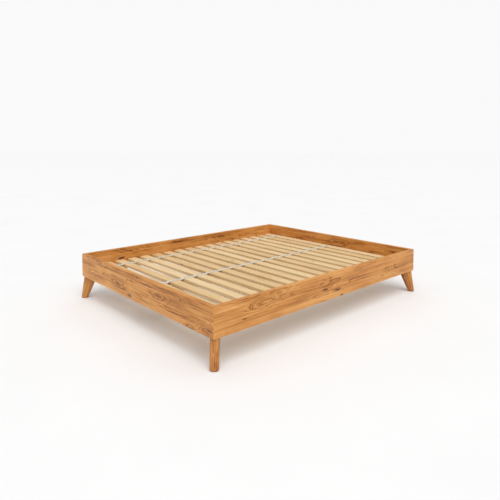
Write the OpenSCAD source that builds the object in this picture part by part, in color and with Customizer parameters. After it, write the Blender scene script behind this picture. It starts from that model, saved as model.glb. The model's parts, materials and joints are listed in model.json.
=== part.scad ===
// Low wooden bed frame with splayed tapered legs and a roll-out slat deck.
// Millimetres. +X is the right-hand side, +Y points to the head end, +Z is up.
// The origin is on the floor, in the middle of the bed.

/* [Mattress] */
// Width of the mattress that the frame holds
mattress_w = 1600; // [1200:10:2000]
// Length of the mattress that the frame holds
mattress_l = 2000; // [1600:10:2400]
// Free gap between the mattress and each rail
mattress_gap = 5; // [2:1:15]

/* [Rails] */
// Thickness of the four rails
rail_t = 28; // [22:1:36]
// Height of the four rails
rail_h = 175; // [140:1:240]
// Rounding of the long edges of the rails
rail_edge_r = 2.5; // [1:0.5:5]
// Rounding of the upright corner where two rails meet
rail_corner_r = 5; // [2:1:10]

/* [Legs] */
// Height of the rails' underside above the floor
under_h = 170; // [120:1:260]
// Width of a leg at its top, along the diagonal of the bed
leg_top_w = 97; // [85:1:125]
// Width of a leg at its foot, along the diagonal of the bed
leg_foot_w = 47; // [38:1:70]
// Thickness of a leg, across the diagonal
leg_t = 50; // [40:1:60]
// How far the top of a leg stands in from the rails' outer corner
leg_top_inset = 21; // [10:1:40]
// How far the foot of a leg stands out past the rails' outer corner
leg_foot_outset = 4; // [-10:1:20]
// Rounding of the upright edges of a leg
leg_r = 18; // [6:1:20]

/* [Felt glides] */
// Diameter of a felt glide
glide_d = 36; // [25:1:38]
// Thickness of a felt glide
glide_t = 4; // [2:0.5:8]

/* [Slat deck] */
// Height of the deck's supports above the rails' underside
deck_rise = 62; // [50:1:80]
// Number of slats
slat_count = 18; // [12:1:18]
// Width of a slat
slat_w = 70; // [50:1:88]
// Thickness of a slat
slat_t = 20; // [14:1:26]
// Free gap at each end of a slat
slat_side_gap = 5; // [2:1:10]
// Free gap between the first or last slat and its rail
slat_end_gap = 10; // [5:1:25]
// Width of a webbing strap
strap_w = 30; // [20:1:45]
// Thickness of a webbing strap
strap_t = 1.5; // [1:0.5:3]
// Distance from a side rail's inner face to the middle of the outer strap
strap_inset = 150; // [80:5:300]

/* [Ledgers] */
// Width of a ledger, away from its rail
ledger_w = 25; // [20:1:40]
// Height of a ledger
ledger_h = 40; // [30:1:50]
// Number of screws in each ledger
ledger_screws_n = 8; // [4:1:10]

/* [Corner blocks] */
// Wood of a corner block left past the inner end of its leg
block_cover = 35; // [20:1:50]
// Flat left at the two thin ends of a corner block
block_tip = 14; // [8:1:20]
// Wood under the head of a block bolt
block_seat = 30; // [22:1:36]
// Distance between the two bolts that run into one rail
bolt_pitch = 45; // [35:1:50]
// Height of the side rails' bolts above the rails' underside
bolt_low = 18; // [14:1:20]

/* [Centre support] */
// Width of the centre beam
beam_w = 45; // [35:1:60]
// Thickness of the sheet steel of a beam shoe
shoe_t = 2; // [1.5:0.5:4]
// Depth of a beam shoe under the beam
shoe_d = 45; // [30:1:70]
// Height of a beam shoe
shoe_h = 50; // [40:1:60]
// Width of each screw ear of a beam shoe
shoe_ear = 24; // [18:1:35]
// Side of the square centre leg
post_w = 45; // [35:1:60]
// Length of the plate on top of the centre leg
plate_l = 125; // [110:1:160]
// Thickness of the plate on top of the centre leg
plate_t = 3; // [2:0.5:5]
// Height of the centre leg's wooden end above the floor, at rest
post_z = 38; // [36:1:60]
// Diameter of the adjustable foot's pad
pad_d = 44; // [34:1:60]
// Travel of the adjustable foot, each way
foot_travel = 10; // [4:1:12]

/* [Hidden] */
// Clearances
bolt_play = 0.5;     // bolt or stud in a through hole, on the radius
thread_play = 0.05;  // thread in its own nut, insert or wood, on the radius
beam_play = 0.5;     // beam between the cheeks of a shoe, each side
beam_end_gap = 2;    // beam end to shoe
ledger_end_gap = 2;  // ledger end to corner block
swivel_play = 0.1;   // spindle end in the pad, on the radius and below
strap_end_gap = 4;   // strap end to the outer edge of the last slat
over = 1;            // how far a cutting solid runs past what it cuts

// M8 block bolts, washers, inserts, studs and nuts
m8_r = 4;
m8_head_r = 6.5;
m8_head_h = 8;
m8_socket_af = 6;
m8_socket_depth = 4;
m8_washer_r = 8;
m8_washer_t = 1.6;
m8_nut_af = 13;
m8_nut_h = 6.5;
pocket_r = 10;       // counterbore for a bolt head
nut_pocket_r = 11;   // counterbore for a nut
insert_r = 6;
insert_l = 20;
insert_bottom = 1;   // free depth behind a bolt or insert in its hole
insert_wall = 6;     // wood left between an insert and the rail's outer face

// Wood screws
screw_r = 2.25;
screw_head_r = 4.5;
screw_head_h = 2.6;
screw_bite = 18;     // length of a screw in the piece that it holds to
screw_bottom = 1;    // free depth past a screw's tip
shoe_screw_edge = 12.5; // from a shoe's top or bottom edge to its nearest screw

// Studs in the legs
stud_corner = 17;    // from the rails' inner corner to the first stud, along the diagonal
stud_pitch = 32;
stud_wall = 5;       // wood left round the end of a stud inside the leg
stud_tail = 2.5;     // thread standing proud of a nut
stud_room = 1.5;     // free depth above a stud in its nut pocket

// Adjustable foot
spindle_r = 5;
spindle_grip = 45;   // length of the spindle inside the centre leg
spindle_hex_af = 17;
spindle_hex_h = 8;
spindle_hex_gap = 1.5;
foot_insert_r = 7;
foot_insert_l = 25;
pad_h = 14;
pad_floor = 5;       // solid floor of the pad under its socket
pad_edge_r = 3;
pad_chamfer = 1;
spindle_room = 4;    // free depth above the raised spindle

// Screws from the plate down into the centre leg
post_screw_l = 50;

// Staples on the straps
staple_l = 12;
staple_w = 1.3;
staple_h = 0.7;
staple_pitch = 36;   // between the two staples on one slat

post_chamfer = 4;
block_relief = 6;
slat_edge_r = 3;
ledger_edge_r = 2;
arc_steps = 4;       // straight pieces in a quarter of a rounded edge
leg_slice = 0.1;     // height of the thin posts that a leg's hull stretches between

// Derived sizes
inner_w = mattress_w + 2 * mattress_gap;
inner_l = mattress_l + 2 * mattress_gap;
outer_w = inner_w + 2 * rail_t;
outer_l = inner_l + 2 * rail_t;
deck_z = under_h + deck_rise;
slat_top_z = deck_z + slat_t;
inner_corner = rail_t * sqrt(2);
leg_inner_top = leg_top_inset + leg_top_w;
leg_inner_foot = leg_foot_w - leg_foot_outset;
leg_h = under_h - glide_t;
leg_slope = (leg_inner_top - leg_inner_foot) / leg_h;
block_leg = sqrt(2) * (leg_inner_top + block_cover - inner_corner);
block_end = block_leg - block_tip;
bolt_high = deck_rise - bolt_low;
bolt_far = block_leg - block_seat - pocket_r;
bolt_near = bolt_far - bolt_pitch;
bolt_grip = min(insert_l, rail_t - insert_wall);
bolt_l = m8_washer_t + block_seat + bolt_grip - insert_bottom;
stud_at = [inner_corner + stud_corner, inner_corner + stud_corner + stud_pitch];
stud_depth = (leg_inner_top - stud_at[1] - m8_r - stud_wall) / leg_slope;
nut_pocket = m8_washer_t + m8_nut_h + stud_tail + stud_room;
slat_l = inner_w - 2 * slat_side_gap;
slat_pitch = (inner_l - 2 * slat_end_gap - slat_w) / (slat_count - 1);
ledger_l = inner_l - 2 * (block_end + ledger_end_gap);
ledger_screw_pitch = ledger_l / ledger_screws_n;
ledger_screw_z = deck_z - ledger_h / 2;
beam_z = under_h + shoe_t;
beam_h = deck_z - beam_z;
beam_l = inner_l - 2 * (shoe_t + beam_end_gap);
shoe_in = beam_w + 2 * beam_play;
shoe_out = shoe_in + 2 * shoe_t;
shoe_screw_x = shoe_out / 2 + shoe_ear / 2;
shoe_screw_z = [under_h + shoe_screw_edge, under_h + shoe_h - shoe_screw_edge];
post_top = beam_z - plate_t;
plate_screw_y = (post_w + plate_l) / 4;
plate_screw_x = beam_w / 4;
post_screw_x = post_w / 4;
spindle_z = pad_floor + swivel_play;
spindle_top = post_z + spindle_grip;
hex_z = pad_h + spindle_hex_gap;
strap_x = [-(inner_w / 2 - strap_inset), 0, inner_w / 2 - strap_inset];
strap_l = inner_l - 2 * (slat_end_gap + strap_end_gap);
strap_top_z = slat_top_z + strap_t;

function slat_name(i) = str("slat_", i < 9 ? "0" : "", i + 1);

oak = [0.80, 0.53, 0.28];
oak_leg = [0.72, 0.44, 0.22];
spruce = [0.87, 0.76, 0.58];
beech = [0.78, 0.60, 0.42];
dark_steel = [0.16, 0.16, 0.17];
zinc = [0.72, 0.73, 0.74];
felt = [0.32, 0.29, 0.26];
cotton = [0.88, 0.86, 0.80];
black_plastic = [0.10, 0.10, 0.11];

// Points of an arc about c, from angle a0 to angle a1
function arc(c, r, a0, a1, n = arc_steps) =
    [for (i = [0 : n]) c + r * [cos(a0 + (a1 - a0) * i / n), sin(a0 + (a1 - a0) * i / n)]];

// A w by h rectangle about the origin with round corners
function round_rect(w, h, r) = concat(
    arc([w / 2 - r, h / 2 - r], r, 0, 90),
    arc([r - w / 2, h / 2 - r], r, 90, 180),
    arc([r - w / 2, r - h / 2], r, 180, 270),
    arc([w / 2 - r, r - h / 2], r, 270, 360)
);

// A w by h rectangle about the origin with its corners cut off
function cut_rect(w, h, c) = [
    [w / 2, h / 2 - c], [w / 2 - c, h / 2], [c - w / 2, h / 2], [-w / 2, h / 2 - c],
    [-w / 2, c - h / 2], [c - w / 2, -h / 2], [w / 2 - c, -h / 2], [w / 2, c - h / 2]
];

// What is cut from one end of a rail: the mitre, and half of the round upright corner.
// The origin is the rail's outer corner, +X runs along the rail and +Y into its thickness.
function mitre_cut() = let (far = rail_t + over) concat(
    arc([rail_corner_r, rail_corner_r], rail_corner_r, 270, 225),
    [[far, far], [-over, far], [-over, -over], [rail_corner_r, -over]]
);

// Puts a foot-end-right piece at the corner on the sx side and the sy end
module at_corner(sx, sy) {
    mirror([sx < 0 ? 1 : 0, 0, 0])
        mirror([0, sy > 0 ? 1 : 0, 0])
            translate([outer_w / 2, -outer_l / 2, 0])
                children();
}

// Turns a piece whose +X runs outwards along the diagonal into the foot-end-right corner
module on_diagonal() {
    rotate([0, 0, -45]) children();
}

// Repeats a piece at all four corners
module all_corners() {
    for (sx = [-1, 1], sy = [-1, 1]) at_corner(sx, sy) children();
}

// A cylinder that runs from the origin along -X, for holes and bolts in a side rail
module along_side(r, l, fn = 32) {
    rotate([0, -90, 0]) cylinder(r = r, h = l, $fn = fn);
}

// The blind hole for a wood screw whose seat is at the origin, going down along +Z
module pilot_hole(length) {
    cylinder(r = screw_r + thread_play, h = length + screw_bottom, $fn = 24);
}

// The hollow for a countersunk screw head, going down along +Z
module countersink() {
    wide = screw_head_r + thread_play;
    narrow = screw_r + thread_play;
    cylinder(r1 = wide, r2 = narrow, h = screw_head_h, $fn = 24);
}

// ---- Rails ----

// Both bolts of one rail end: d is 0 for the side rail and 1 for the end rail
module block_bolt_places(d) {
    for (p = [bolt_near, bolt_far]) {
        if (d == 0) {
            translate([-rail_t, rail_t + p, under_h + bolt_low]) children();
        } else {
            translate([-rail_t - p, rail_t, under_h + bolt_high])
                mirror([1, 1, 0]) children();
        }
    }
}

module ledger_screw_places() {
    for (i = [0 : ledger_screws_n - 1]) {
        translate([inner_w / 2 - ledger_w, (i + 0.5) * ledger_screw_pitch - ledger_l / 2, ledger_screw_z])
            children();
    }
}

module shoe_screw_places() {
    for (x = [-shoe_screw_x, shoe_screw_x], z = shoe_screw_z)
        translate([x, -inner_l / 2 + shoe_t, z]) children();
}

// A mitred rail that lies along X, with its outer face at y = 0 and its underside at z = 0
module plain_rail(length) {
    difference() {
        translate([0, rail_t / 2, rail_h / 2])
            rotate([90, 0, 90])
                linear_extrude(length, center = true)
                    polygon(round_rect(rail_t, rail_h, rail_edge_r));
        for (end = [0, 1])
            mirror([end, 0, 0])
                translate([-length / 2, 0, -over])
                    linear_extrude(rail_h + 2 * over)
                        polygon(mitre_cut());
    }
}

module insert_hole() {
    translate([-over, 0, 0]) rotate([0, 90, 0]) cylinder(r = insert_r, h = bolt_grip + over, $fn = 32);
}

// The end rail at the foot end
module end_rail() {
    color(oak)
        difference() {
            translate([0, -outer_l / 2, under_h]) plain_rail(outer_w);
            for (sx = [-1, 1]) at_corner(sx, -1) block_bolt_places(1) insert_hole();
            shoe_screw_places()
                rotate([90, 0, 0]) pilot_hole(shoe_t + screw_bite);
        }
}

// The side rail on the right
module side_rail() {
    color(oak)
        difference() {
            translate([outer_w / 2, 0, under_h]) rotate([0, 0, 90]) plain_rail(outer_l);
            for (sy = [-1, 1]) at_corner(1, sy) block_bolt_places(0) insert_hole();
            ledger_screw_places()
                rotate([0, 90, 0]) pilot_hole(ledger_w + screw_bite);
        }
}

// ---- Corner blocks ----

module block_plan() {
    polygon([
        [block_relief, 0], [block_end, 0], [block_end, block_tip],
        [block_tip, block_end], [0, block_end], [0, block_relief]
    ]);
}

module block_bolt_hole() {
    along_side(m8_r + bolt_play, block_seat + over);
    translate([-block_seat, 0, 0]) along_side(pocket_r, block_leg);
}

module corner_block() {
    color(beech)
        difference() {
            translate([-rail_t, rail_t, under_h])
                mirror([1, 0, 0]) linear_extrude(deck_rise) block_plan();
            for (d = [0, 1]) block_bolt_places(d) block_bolt_hole();
            on_diagonal()
                for (s = stud_at) {
                    translate([-s, 0, under_h - over])
                        cylinder(r = m8_r + bolt_play, h = deck_rise + 2 * over, $fn = 32);
                    translate([-s, 0, deck_z - nut_pocket])
                        cylinder(r = nut_pocket_r, h = nut_pocket + over, $fn = 40);
                }
        }
}

// ---- Legs and glides ----

// Four round posts at one level of a leg, with the leg's outer face at x = out
module leg_level(out, width, z) {
    for (x = [out - leg_r, out - width + leg_r], y = [-1, 1] * (leg_t / 2 - leg_r))
        translate([x, y, z]) cylinder(r = leg_r, h = leg_slice, $fn = 32);
}

module leg() {
    color(oak_leg)
        on_diagonal()
            difference() {
                hull() {
                    leg_level(-leg_top_inset, leg_top_w, under_h - leg_slice);
                    leg_level(leg_foot_outset, leg_foot_w, glide_t);
                }
                for (s = stud_at)
                    translate([-s, 0, under_h - stud_depth - insert_bottom])
                        cylinder(r = m8_r + thread_play, h = stud_depth + insert_bottom + over, $fn = 32);
            }
}

module glide() {
    color(felt)
        on_diagonal()
            translate([leg_foot_outset - leg_foot_w / 2, 0, 0])
                cylinder(d = glide_d, h = glide_t, $fn = 48);
}

// ---- Ledgers and slat deck ----

module ledger() {
    color(oak)
        difference() {
            translate([inner_w / 2 - ledger_w / 2, 0, ledger_screw_z])
                rotate([90, 0, 0])
                    linear_extrude(ledger_l, center = true)
                        polygon(cut_rect(ledger_w, ledger_h, ledger_edge_r));
            ledger_screw_places() {
                translate([-over, 0, 0]) rotate([0, 90, 0]) pilot_hole(ledger_w + over);
                rotate([0, 90, 0]) countersink();
            }
        }
}

module slat(i) {
    color(spruce)
        translate([0, -inner_l / 2 + slat_end_gap + slat_w / 2 + i * slat_pitch, deck_z + slat_t / 2])
            rotate([90, 0, 90])
                linear_extrude(slat_l, center = true)
                    polygon(round_rect(slat_w, slat_t, slat_edge_r));
}

module strap(i) {
    color(cotton)
        translate([strap_x[i] - strap_w / 2, -strap_l / 2, slat_top_z])
            cube([strap_w, strap_l, strap_t]);
}

module strap_staples() {
    color(zinc)
        for (x = strap_x, i = [0 : slat_count - 1], side = [-1, 1])
            translate([
                x - staple_l / 2,
                -inner_l / 2 + slat_end_gap + slat_w / 2 + i * slat_pitch
                    + side * staple_pitch / 2 - staple_w / 2,
                strap_top_z
            ])
                cube([staple_l, staple_w, staple_h]);
}

// ---- Centre support ----

module centre_beam() {
    color(oak)
        difference() {
            translate([0, 0, beam_z + beam_h / 2])
                rotate([90, 0, 0])
                    linear_extrude(beam_l, center = true)
                        polygon(cut_rect(beam_w, beam_h, ledger_edge_r));
            plate_screw_places() pilot_hole(plate_t + screw_bite);
        }
}

// The sheet steel shoe on the foot-end rail
module beam_shoe() {
    plate_w = shoe_out + 2 * shoe_ear;
    color(dark_steel)
        translate([0, -inner_l / 2, under_h])
            difference() {
                union() {
                    translate([-plate_w / 2, 0, 0]) cube([plate_w, shoe_t, shoe_h]);
                    translate([-shoe_out / 2, 0, 0]) cube([shoe_out, shoe_d, shoe_t]);
                    for (x = [-shoe_out / 2, shoe_in / 2])
                        translate([x, 0, 0])
                            rotate([90, 0, 90])
                                linear_extrude(shoe_t)
                                    polygon([
                                        [0, 0], [shoe_d, 0], [shoe_d, shoe_h / 2],
                                        [shoe_d / 2, shoe_h], [0, shoe_h]
                                    ]);
                }
                translate([0, inner_l / 2, -under_h])
                    shoe_screw_places()
                        translate([0, over, 0])
                            rotate([90, 0, 0])
                                cylinder(r = screw_r + bolt_play, h = shoe_t + 2 * over, $fn = 24);
            }
}

module plate_screw_places() {
    for (x = [-plate_screw_x, plate_screw_x], y = [-plate_screw_y, plate_screw_y])
        translate([x, y, post_top]) children();
}

module post_screw_places() {
    for (x = [-post_screw_x, post_screw_x])
        translate([x, 0, beam_z]) mirror([0, 0, 1]) children();
}

module centre_leg_plate() {
    color(dark_steel)
        difference() {
            translate([-beam_w / 2, -plate_l / 2, post_top]) cube([beam_w, plate_l, plate_t]);
            plate_screw_places()
                translate([0, 0, -over])
                    cylinder(r = screw_r + bolt_play, h = plate_t + 2 * over, $fn = 24);
            post_screw_places() {
                translate([0, 0, -over]) pilot_hole(plate_t + over);
                countersink();
            }
        }
}

module centre_leg() {
    color(oak_leg)
        difference() {
            translate([0, 0, post_z])
                linear_extrude(post_top - post_z) polygon(cut_rect(post_w, post_w, post_chamfer));
            translate([0, 0, post_z - over])
                cylinder(r = foot_insert_r, h = foot_insert_l + over, $fn = 40);
            translate([0, 0, post_z])
                cylinder(r = spindle_r + bolt_play, h = spindle_grip + foot_travel + spindle_room, $fn = 32);
            post_screw_places() pilot_hole(post_screw_l);
        }
}

module centre_leg_insert() {
    color(zinc)
        translate([0, 0, post_z])
            difference() {
                cylinder(r = foot_insert_r, h = foot_insert_l, $fn = 40);
                translate([0, 0, -over])
                    cylinder(r = spindle_r + thread_play, h = foot_insert_l + 2 * over, $fn = 32);
            }
}

module foot_spindle() {
    color(zinc) {
        translate([0, 0, spindle_z]) cylinder(r = spindle_r, h = spindle_top - spindle_z, $fn = 32);
        translate([0, 0, hex_z]) cylinder(d = spindle_hex_af / cos(30), h = spindle_hex_h, $fn = 6);
    }
}

module foot_pad() {
    top_r = pad_d / 4 + spindle_r / 2;
    color(black_plastic)
        difference() {
            rotate_extrude($fn = 64)
                polygon(concat(
                    [[0, 0], [pad_d / 2 - pad_chamfer, 0], [pad_d / 2, pad_chamfer]],
                    arc([pad_d / 2 - pad_edge_r, pad_h / 2 - pad_edge_r], pad_edge_r, 0, 80),
                    [[top_r, pad_h - pad_chamfer], [top_r - pad_chamfer, pad_h], [0, pad_h]]
                ));
            translate([0, 0, pad_floor]) cylinder(r = spindle_r + swivel_play, h = pad_h, $fn = 32);
        }
}

// ---- Fasteners ----

// Socket head bolt: head towards -X, its seat at the origin, its thread along +X
module m8_bolt(length) {
    rotate([0, 90, 0])
        difference() {
            union() {
                cylinder(r = m8_r, h = length, $fn = 32);
                translate([0, 0, -m8_head_h]) cylinder(r = m8_head_r, h = m8_head_h, $fn = 40);
            }
            translate([0, 0, -m8_head_h - over])
                cylinder(d = m8_socket_af / cos(30), h = m8_socket_depth + over, $fn = 6);
        }
}

module m8_washer() {
    difference() {
        cylinder(r = m8_washer_r, h = m8_washer_t, $fn = 40);
        translate([0, 0, -over]) cylinder(r = m8_r + bolt_play, h = m8_washer_t + 2 * over, $fn = 32);
    }
}

// Repeats a piece at each of the sixteen block bolts
module at_block_bolts() {
    all_corners() for (d = [0, 1]) block_bolt_places(d) children();
}

module block_bolts() {
    color(zinc) at_block_bolts() translate([-block_seat - m8_washer_t, 0, 0]) m8_bolt(bolt_l);
}

module block_washers() {
    color(zinc) at_block_bolts() translate([-block_seat, 0, 0]) rotate([0, -90, 0]) m8_washer();
}

module rail_inserts() {
    color(zinc)
        at_block_bolts()
            rotate([0, 90, 0])
                difference() {
                    cylinder(r = insert_r, h = bolt_grip, $fn = 32);
                    translate([0, 0, -over])
                        cylinder(r = m8_r + thread_play, h = bolt_grip + 2 * over, $fn = 32);
                }
}

// Repeats a piece at each of the eight leg studs, at the floor of its nut pocket
module at_studs() {
    all_corners()
        on_diagonal()
            for (s = stud_at) translate([-s, 0, deck_z - nut_pocket]) children();
}

module leg_studs() {
    above = m8_washer_t + m8_nut_h + stud_tail;
    below = deck_rise - nut_pocket + stud_depth;
    color(zinc) at_studs() translate([0, 0, -below]) cylinder(r = m8_r, h = below + above, $fn = 32);
}

module leg_washers() {
    color(zinc) at_studs() m8_washer();
}

module leg_nuts() {
    color(zinc)
        at_studs()
            translate([0, 0, m8_washer_t])
                difference() {
                    cylinder(d = m8_nut_af / cos(30), h = m8_nut_h, $fn = 6);
                    translate([0, 0, -over])
                        cylinder(r = m8_r + thread_play, h = m8_nut_h + 2 * over, $fn = 32);
                }
}

// Countersunk wood screw, its head at the origin and its thread along +Z
module countersunk_screw(length) {
    cylinder(r = screw_r, h = length, $fn = 24);
    cylinder(r1 = screw_head_r, r2 = screw_r, h = screw_head_h, $fn = 24);
}

// Flat-headed wood screw, its seat at the origin and its thread along +Z
module flat_head_screw(length) {
    cylinder(r = screw_r, h = length, $fn = 24);
    translate([0, 0, -screw_head_h]) cylinder(r = screw_head_r, h = screw_head_h, $fn = 24);
}

module ledger_screws() {
    color(zinc)
        for (sx = [0, 1])
            mirror([sx, 0, 0])
                ledger_screw_places() rotate([0, 90, 0]) countersunk_screw(ledger_w + screw_bite);
}

module shoe_screws() {
    color(zinc)
        for (sy = [0, 1])
            mirror([0, sy, 0])
                shoe_screw_places() rotate([90, 0, 0]) flat_head_screw(shoe_t + screw_bite);
}

module plate_screws() {
    color(zinc) plate_screw_places() flat_head_screw(plate_t + screw_bite);
}

module post_screws() {
    color(zinc) post_screw_places() countersunk_screw(post_screw_l);
}

// ---- Nodes ----

end_rail();  // rail_foot
mirror([0, 1, 0]) end_rail();  // rail_head
mirror([1, 0, 0]) side_rail();  // rail_left
side_rail();  // rail_right
at_corner(-1, -1) corner_block();  // corner_block_foot_left
at_corner(1, -1) corner_block();  // corner_block_foot_right
at_corner(-1, 1) corner_block();  // corner_block_head_left
at_corner(1, 1) corner_block();  // corner_block_head_right
at_corner(-1, -1) leg();  // leg_foot_left
at_corner(1, -1) leg();  // leg_foot_right
at_corner(-1, 1) leg();  // leg_head_left
at_corner(1, 1) leg();  // leg_head_right
at_corner(-1, -1) glide();  // glide_foot_left
at_corner(1, -1) glide();  // glide_foot_right
at_corner(-1, 1) glide();  // glide_head_left
at_corner(1, 1) glide();  // glide_head_right
mirror([1, 0, 0]) ledger();  // ledger_left
ledger();  // ledger_right
centre_beam();
beam_shoe();  // beam_shoe_foot
mirror([0, 1, 0]) beam_shoe();  // beam_shoe_head
centre_leg();
centre_leg_plate();
centre_leg_insert();
foot_spindle();
foot_pad();
for (i = [0 : slat_count - 1])
    slat(i);
strap(0);  // strap_left
strap(1);  // strap_centre
strap(2);  // strap_right
strap_staples();
block_bolts();
block_washers();
rail_inserts();
leg_studs();
leg_washers();
leg_nuts();
ledger_screws();
shoe_screws();
plate_screws();
post_screws();
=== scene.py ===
# %% [markdown]
# # A low oak bed frame
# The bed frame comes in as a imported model: every rail, leg, block, slat and screw is already a mesh in
# metres, standing on the floor around the origin. +X is the right-hand side, +Y the head end and +Z up.
# This lesson gives those parts their finish, and rebuilds the pieces whose real surface needs more than
# the model holds: the rounded and tapered legs, the webbing, the staples, the screws, the felt glides
# and the adjustable foot.

# %% The frame
import json
import math
import bmesh
import bpy
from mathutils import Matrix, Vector

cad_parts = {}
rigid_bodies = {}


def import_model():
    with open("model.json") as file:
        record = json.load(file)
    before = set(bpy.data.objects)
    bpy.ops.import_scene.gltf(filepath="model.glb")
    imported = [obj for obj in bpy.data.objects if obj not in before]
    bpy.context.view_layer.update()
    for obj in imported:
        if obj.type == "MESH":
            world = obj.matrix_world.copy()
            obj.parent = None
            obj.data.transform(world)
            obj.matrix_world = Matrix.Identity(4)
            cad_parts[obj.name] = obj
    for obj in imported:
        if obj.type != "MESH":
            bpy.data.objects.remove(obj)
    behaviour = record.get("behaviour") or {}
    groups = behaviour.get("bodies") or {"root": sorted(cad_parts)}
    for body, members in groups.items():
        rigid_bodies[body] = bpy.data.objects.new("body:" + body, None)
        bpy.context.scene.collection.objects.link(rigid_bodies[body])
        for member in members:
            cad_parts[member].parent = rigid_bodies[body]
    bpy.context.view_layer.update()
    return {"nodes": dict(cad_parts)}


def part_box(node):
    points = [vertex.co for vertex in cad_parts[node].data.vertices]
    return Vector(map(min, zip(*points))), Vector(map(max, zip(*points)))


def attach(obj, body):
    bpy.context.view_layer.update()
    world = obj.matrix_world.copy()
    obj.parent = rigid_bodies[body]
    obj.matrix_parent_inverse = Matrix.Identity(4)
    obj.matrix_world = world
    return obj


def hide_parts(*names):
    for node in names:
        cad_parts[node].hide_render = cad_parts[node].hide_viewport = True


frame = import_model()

nodes = frame["nodes"]

# %% [markdown]
# ## Reading sizes from the frame
# Nothing here repeats a size that the frame can give. The rails' boxes say how long, high and thick
# they are, and the slats' boxes say where each slat lies. A finish or a new piece that is placed from
# these boxes still fits when the bed is made for another mattress.

# %% Sizes of the rails and slats
FLOOR = 0.0
RAIL_UNDER, RAIL_TOP = (corner.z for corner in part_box("rail_right"))
SLATS = sorted(name for name in nodes if name.startswith("slat_"))
SLAT_MIDDLES = [sum(corner.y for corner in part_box(name)) / 2 for name in SLATS]
SLAT_PITCH = SLAT_MIDDLES[1] - SLAT_MIDDLES[0]
SLAT_LOW, SLAT_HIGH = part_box(SLATS[0])
SLAT_WIDE, SLAT_TOP = SLAT_HIGH.y - SLAT_LOW.y, SLAT_HIGH.z
print("rails", round(RAIL_TOP - RAIL_UNDER, 3), "m high, slats", len(SLATS))

# %% [markdown]
# ## The camera, first
# The bed is seen over its foot-end right corner, with the foot rail running away to the left and the
# long side rail to the right. The camera stands a little over a metre high and looks almost level.
# Tilting it further down would make the upright legs lean together, so most of the downward framing is
# done with the lens shift, as an architectural photographer does with a shift lens.

# %% Camera
CAMERA_AT = Vector((2.763, -2.535, 1.194))
CAMERA_TURN = 47.64      # degrees round Z, from looking along +Y
CAMERA_TILT = 3.04       # degrees below level
LENS_MM = 34.18
SENSOR_MM = 36.0
LENS_SHIFT = -0.16


def into_scene(name, data):
    """A new object in the scene, at the origin."""
    thing = bpy.data.objects.new(name, data)
    bpy.context.scene.collection.objects.link(thing)
    return thing


def make_camera():
    data = bpy.data.cameras.new("camera")
    data.lens = LENS_MM
    data.sensor_width = SENSOR_MM
    data.shift_y = LENS_SHIFT
    camera = into_scene("camera", data)
    camera.location = CAMERA_AT
    camera.rotation_euler = (math.radians(90 - CAMERA_TILT), 0, math.radians(CAMERA_TURN))
    bpy.context.scene.camera = camera


make_camera()
print("camera", tuple(round(c, 2) for c in CAMERA_AT))

# %% [markdown]
# ## A small vocabulary for node recipes
# A wood finish takes thirty or forty shader nodes. Written out one link at a time, the idea behind it
# drowns. The class below adds a node, wires whatever it is given into the sockets in order, and hands
# back the output, so a recipe reads from top to bottom like a formula.


# %% Node helper
SHINE = 0.35             # specular level of every finish, a little under the usual half
BEVEL_SAMPLES = 4


class Sums:
    """Arithmetic by name, for any node tree that has a math step."""

    def times(self, first, second):
        return self.math("MULTIPLY", first, second)

    def plus(self, first, second):
        return self.math("ADD", first, second)

    def minus(self, first, second):
        return self.math("SUBTRACT", first, second)

    def total(self, start, *shares):
        """start, plus every value times its share."""
        for value, share in shares:
            start = self.math("MULTIPLY_ADD", value, share, start)
        return start

    def wave(self, value, length):
        return self.math("SINE", self.times(value, 2 * math.pi / length))


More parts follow.
